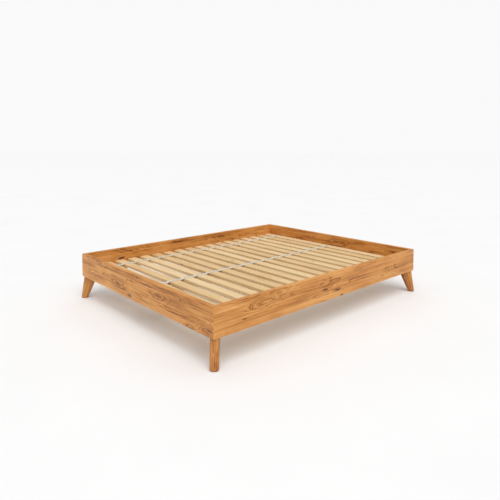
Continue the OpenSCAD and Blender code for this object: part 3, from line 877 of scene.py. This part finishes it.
def make_pad():
    outer, tall = (PAD_HIGH.x - PAD_LOW.x) / 2, PAD_HIGH.z - PAD_LOW.z
    shoulder = outer / 2 + THREAD_OUT / 2
    profile = [(outer * 0.4, 0.0), (outer - 0.0012, 0.0), (outer - 0.0003, 0.0005), (outer, 0.0014),
               (outer, tall * 0.30)]
    for k in range(1, 7):
        turn = math.radians(90 * k / 6)
        profile.append((outer - PAD_ROUND * (1 - math.cos(turn)),
                        tall * 0.30 + PAD_ROUND * math.sin(turn)))
    profile += [(shoulder + 0.003, tall * 0.62), (shoulder + 0.0005, tall * 0.80),
                (shoulder, tall - 0.0012), (shoulder - 0.0004, tall - 0.0003),
                (shoulder - 0.0014, tall), (THREAD_OUT + 0.0008, tall),
                (THREAD_OUT + 0.0002, tall - 0.0006), (THREAD_OUT + 0.0001, tall * 0.4)]

    def ribbed(angle, radius, height):
        on_rim = 1.0 if radius > outer - 0.0015 and 0.001 < height < tall * 0.5 else 0.0
        return 1 - 0.022 * on_rim * (0.5 - 0.5 * math.cos(PAD_RIBS * angle))

    bm = bmesh.new()
    lathe(bm, profile, 144, (0.0, 0.0), ribbed)
    return smooth(new_piece("foot_pad_moulding", bm, [plastic]), 35)


def join_into(name, pieces):
    """One mesh from several, all at the origin."""
    bm = bmesh.new()
    for piece in pieces:
        bm.from_mesh(piece.data)
    joined = bpy.data.meshes.new(name)
    bm.to_mesh(joined)
    bm.free()
    joined.materials.append(pieces[0].data.materials[0])
    for piece in pieces:
        bpy.data.objects.remove(piece)
    return into_scene(name, joined)


spindle = join_into("spindle_screw", [spindle, make_hexagon()])
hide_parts("foot_spindle")
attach(spindle, "foot_spindle")
pad = make_pad()
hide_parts("foot_pad")
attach(pad, "foot_pad")
print("foot made,", len(spindle.data.polygons), "faces in the spindle")

# %% [markdown]
# ## Webbing straps
# Three cotton straps run over the slats from end to end and hold them at their spacing. Webbing is
# never quite straight: it lies flat on each slat and slackens a little over each gap. The strap is
# modelled directly from its path, with thick rounded selvedges, because a cloth simulation would only
# blur so thin a piece. Its UV map runs across and along the tape, which the weave follows.

# %% Straps
STRAPS = ("left", "centre", "right")
STRAP_SAG = 0.0035
STRAP_LIFT = 0.003       # how far in from a slat's edge the strap leaves it
STRAP_STEP = 0.005
SELVEDGE = 0.0017        # width of the thicker woven edge
WARP, WEFT, CHEVRON = 0.0016, 0.0024, 0.006    # repeats of the weave
STRIPE_AT = 0.0105       # from the middle of the tape to its stripes


def strap_height(y):
    """Height of the strap's underside: on a slat it is flat, over a gap it sags."""
    from_slat = (y - SLAT_MIDDLES[0] + SLAT_PITCH / 2) % SLAT_PITCH - SLAT_PITCH / 2
    gap = SLAT_PITCH - SLAT_WIDE
    into_gap = abs(from_slat) - SLAT_WIDE / 2 + STRAP_LIFT
    if into_gap <= 0:
        return SLAT_TOP
    part = min(1.0, into_gap / (gap / 2 + STRAP_LIFT))
    return SLAT_TOP - STRAP_SAG * math.sin(part * math.pi / 2) ** 2


def make_strap(place):
    low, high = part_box("strap_" + place)
    middle, half, thick = (low.x + high.x) / 2, (high.x - low.x) / 2, high.z - low.z
    turned = half - SELVEDGE * 0.3
    section = [(-half, 0.5), (-turned, 1.0), (-half + SELVEDGE, 0.82), (-half * 0.5, 0.78), (0.0, 0.80),
               (half * 0.5, 0.78), (half - SELVEDGE, 0.82), (turned, 1.0), (half, 0.5), (turned, 0.0),
               (0.0, 0.04), (-turned, 0.0)]
    steps = round((high.y - low.y) / STRAP_STEP)
    bm = bmesh.new()
    rings = []
    for k in range(steps + 1):
        y = low.y + (high.y - low.y) * k / steps
        wander = 0.0008 * math.sin(y * 5.1 + middle * 3) + 0.0004 * math.sin(y * 17.0 + middle)
        sag = strap_height(y)
        rings.append([Vector((middle + x * 0.985 + wander, y, sag + t * thick)) for x, t in section])
    loft(bm, rings)
    uv = bm.loops.layers.uv.new("tape")
    for face in bm.faces:
        for loop in face.loops:
            loop[uv].uv = (loop.vert.co.x - middle, loop.vert.co.y)
    piece = smooth(new_piece("strap_" + place + "_webbing", bm, [webbing]), 50)
    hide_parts("strap_" + place)
    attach(piece, "slat_deck")


def woven_cotton():
    r = Recipe("woven_cotton")
    r.shader.inputs["Sheen Weight"].default_value = 0.25
    at = r.add("UVMap", uv_map="tape")
    across, along, _ = r.parts(at)
    weave = r.times(r.wave(across, WARP), r.wave(along, WEFT))
    herringbone = r.wave(r.plus(r.math("ABSOLUTE", across), along), CHEVRON)
    dust = r.noise(r.add("TexCoord", out=3), 40.0, 4.0)
    stripe = r.math("ABSOLUTE", r.minus(r.math("ABSOLUTE", across), STRIPE_AT))
    colour = r.ramp(r.total(dust, (weave, 0.22)), (0.2, srgb(176, 168, 148)),
                    (0.8, srgb(236, 230, 214)))
    colour = r.blend(r.spread(stripe, 0.0011, 0.0007, 0.0, 0.55), colour, solid(srgb(150, 138, 116)))
    return r.finish(colour, 0.88, r.total(weave, (herringbone, 0.4)), 0.0003, 0.7)


webbing = woven_cotton()
for place in STRAPS:
    make_strap(place)
print(len(STRAPS), "straps laid over", len(SLATS), "slats")

# %% [markdown]
# ## Staples
# Two staples pin each strap to each slat: 108 in all. One staple is a thin wire whose two ends dive
# into the wood. Geometry Nodes draw it from a straight line that is bent down at both ends, give the
# line a round profile, and set a copy on every point that the strap and slat positions give.

# %% Staples
STAPLE_WIDE = 0.0115
STAPLE_LEG = 0.004
STAPLE_WIRE = 0.00055
STAPLE_TURN = 0.0012     # length of the bent stretch at each end
STAPLE_EDGE = 0.00065    # from the edge of the frame's staple to its middle


def staple_points():
    low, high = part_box("strap_staples")
    apart = SLAT_MIDDLES[0] - low.y - STAPLE_EDGE
    middles = [sum(corner.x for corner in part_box("strap_" + place)) / 2 for place in STRAPS]
    top = high.z - STAPLE_WIRE
    return [(x, y + side * apart, top) for x in middles for y in SLAT_MIDDLES for side in (-1, 1)]


def staple_growth():
    g = Growth("staple_rows", {
        "Crown width": STAPLE_WIDE, "Leg length": STAPLE_LEG,
        "Wire radius": STAPLE_WIRE, "Bend": STAPLE_TURN})
    crown, leg_length, wire_radius, bend = g.given()
    half = g.times(crown, 0.5)
    line = g.add("GeometryNodeCurvePrimitiveLine", named={
        "Start": g.vector(X=g.times(half, -1.0)), "End": g.vector(X=half)})
    line = g.add("GeometryNodeResampleCurve", named={"Curve": line, "Count": 17})
    place = g.add("ShaderNodeSeparateXYZ", named={0: g.add("GeometryNodeInputPosition")})
    beyond = g.minus(g.math("ABSOLUTE", place), g.minus(half, bend))
    share = g.math("MAXIMUM", g.math("DIVIDE", beyond, bend), 0.0)
    drop = g.times(g.math("POWER", share, 2.0), g.times(leg_length, -1.0))
    bent = g.add("GeometryNodeSetPosition", named={"Geometry": line, "Offset": g.vector(Z=drop)})
    return g.close(g.copies(g.tube(bent, 6, wire_radius)), zinc)


staples = staple_growth().bake("staple_rows", staple_points())
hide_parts("strap_staples")
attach(staples, "slat_deck")
print("staples", len(staples.data.polygons), "faces")

# %% [markdown]
# ## Wood screws
# The screws that hold ledgers, shoes and plate have cross recesses. One screw is built from a cone,
# a shank and a point, and a cross is cut out of its head with a boolean inside the tree. The direction
# of each screw is given by its row: the tree turns all copies of a row the same way.


# %% Screw tree
SCREW_HEAD = 0.0045      # radius
SCREW_SHANK = 0.00225    # radius
SCREW_POINT = 0.35       # radius at the point, as a share of the shank's
CROSS_LONG, CROSS_THIN, CROSS_DEEP = 1.05, 0.24, 1.3    # recess, as shares of the head


def screw_growth(name, length, head_low, flat, turn):
    """head_low is how deep the head goes; flat heads stand on the surface instead of sinking in."""
    g = Growth(name, {
        "Head radius": SCREW_HEAD, "Shank radius": SCREW_SHANK,
        "Length": length, "Head height": head_low, "Turn": turn})
    head_radius, shank_radius, length, head_height, turn = g.given()
    head = g.add("GeometryNodeMeshCone", named={
        "Vertices": 24, "Side Segments": 2, "Radius Top": head_radius if flat else shank_radius,
        "Radius Bottom": head_radius, "Depth": head_height})
    arm, thin = g.times(head_radius, CROSS_LONG), g.times(head_radius, CROSS_THIN)
    deep = g.times(head_height, CROSS_DEEP)
    cut = g.tree.nodes.new("GeometryNodeMeshBoolean")
    cut.operation = "DIFFERENCE"
    g.tree.links.new(head, cut.inputs["Mesh 1"])
    for x, y in ((arm, thin), (thin, arm)):
        bar = g.add("GeometryNodeMeshCube", named={"Size": g.vector(X=x, Y=y, Z=deep)})
        g.tree.links.new(bar, cut.inputs["Mesh 2"])
    shank = g.add("GeometryNodeMeshCone", named={
        "Vertices": 16, "Side Segments": 1, "Radius Top": g.times(shank_radius, SCREW_POINT),
        "Radius Bottom": shank_radius, "Depth": g.minus(length, head_height)})
    screw = g.join(cut.outputs[0], g.raised(shank, head_height))
    turn = g.add("FunctionNodeEulerToRotation", named={"Euler": turn})
    return g.close(g.copies(screw, Rotation=turn), zinc)


def solid_spans(name):
    """Lowest and highest corner of every separate solid in one of the frame's parts."""
    bm = bmesh.new()
    bm.from_mesh(nodes[name].data)
    bmesh.ops.remove_doubles(bm, verts=bm.verts, dist=1e-6)
    seen, spans = set(), []
    for start in bm.verts:
        if start in seen:
            continue
        island, queue = [], [start]
        seen.add(start)
        while queue:
            vertex = queue.pop()
            island.append(vertex.co.copy())
            for edge in vertex.link_edges:
                other = edge.other_vert(vertex)
                if other not in seen:
                    seen.add(other)
                    queue.append(other)
        spans.append((Vector(map(min, zip(*island))), Vector(map(max, zip(*island)))))
    bm.free()
    return spans


print("screw tree ready,", len(solid_spans("ledger_screws")), "ledger screws")

# %% Screw rows
HEAD_HIGH = 0.0026
QUARTER = math.pi / 2


def screw_rows(node, axis, flat, rows):
    """One mesh for a part that holds rows of screws. rows are (test on the middle, sign, turn)."""
    spans = solid_spans(node)
    pieces = []
    for number, (belongs, sign, turn) in enumerate(rows):
        points = []
        for low, high in spans:
            middle = (low + high) / 2
            if belongs(middle):
                start = list(middle)
                start[axis] = low[axis] if sign > 0 else high[axis]
                points.append(start)
        length = spans[0][1][axis] - spans[0][0][axis]
        tree = screw_growth(node + "_" + str(number), length, HEAD_HIGH, flat, turn)
        pieces.append(tree.bake(node + "_row_" + str(number), points))
    piece = join_into(node + "_cross_heads", pieces) if len(pieces) > 1 else pieces[0]
    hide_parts(node)
    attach(piece, "frame")
    return piece


made = [
    screw_rows("ledger_screws", 0, False, [
        (lambda m: m.x > 0, 1, (0, QUARTER, 0)), (lambda m: m.x < 0, -1, (0, -QUARTER, 0))]),
    screw_rows("shoe_screws", 1, True, [
        (lambda m: m.y > 0, 1, (-QUARTER, 0, 0)), (lambda m: m.y < 0, -1, (QUARTER, 0, 0))]),
    screw_rows("plate_screws", 2, True, [(lambda m: True, 1, (0, 0, 0))]),
]
print("screw meshes", [len(piece.data.polygons) for piece in made])

# %% [markdown]
# ## Floor and light
# The bed stands in a plain studio. Most of the light comes from all round, as under a white tent, so
# the rails stay bright on both sides and the space under the frame falls into a broad, soft shadow.
# A very wide sun, high and a little to the right, adds direction without a hard edge. The floor reaches
# so far that it meets the white surround without a visible line.

# %% Stage
FLOOR_RADII = (2.0, 8.0, 60.0)
FLOOR_STEPS = 96
TENT_LOW, TENT_HIGH = 0.15, 0.90    # light from the horizon and from overhead
TENT_SEEN = 0.95         # how bright the surround itself looks
SUN_TOWARDS = Vector((0.56, -0.34, 1.0))
SUN_POWER = 1.72
SUN_SPREAD = 50.0        # degrees across, so that shadows have wide soft edges


def make_stage():
    r = Recipe("studio_floor")
    at = r.add("TexCoord", out=3)
    shade = r.noise(at, 1.5, 3.0)
    colour = r.ramp(shade, (0.3, (0.885, 0.885, 0.885)), (0.7, (0.905, 0.905, 0.905)))
    r.finish(colour, 0.75, r.noise(at, 60.0, 3.0), 0.0005, 0.1)
    bm = bmesh.new()
    rows = [[bm.verts.new(point) for point in ring_at(FLOOR, lambda turn: radius, FLOOR_STEPS)]
            for radius in FLOOR_RADII]
    for near, far in zip(rows, rows[1:]):
        for k in range(FLOOR_STEPS):
            after = (k + 1) % FLOOR_STEPS
            bm.faces.new((near[k], far[k], far[after], near[after]))
    bm.faces.new(rows[0])
    stage = new_piece("studio_floor", bm, [r.material])


def make_sun():
    data = bpy.data.lights.new("panel", "SUN")
    data.energy = SUN_POWER
    data.angle = math.radians(SUN_SPREAD)
    light = into_scene("panel", data)
    light.rotation_euler = (-SUN_TOWARDS).to_track_quat("-Z", "Y").to_euler()


def make_world():
    """The surround: graded by direction for the light, and plain where the camera sees it."""
    world = bpy.data.worlds.new("studio")
    r = Recipe("studio", world, "Background")
    r.shader.inputs["Color"].default_value = (1.0, 1.0, 1.0, 1.0)
    _, _, upward = r.parts(r.add("TexCoord"))
    tent = r.add("MapRange", upward, 0.0, 1.0, TENT_LOW, TENT_HIGH)
    seen = r.add("MapRange", r.add("LightPath"), 0.0, 1.0, tent, TENT_SEEN)
    r.wire(r.shader.inputs["Strength"], seen)
    bpy.context.scene.world = world
    bpy.context.scene.view_settings.view_transform = "Standard"


make_stage()
make_world()
make_sun()
print("stage lit")
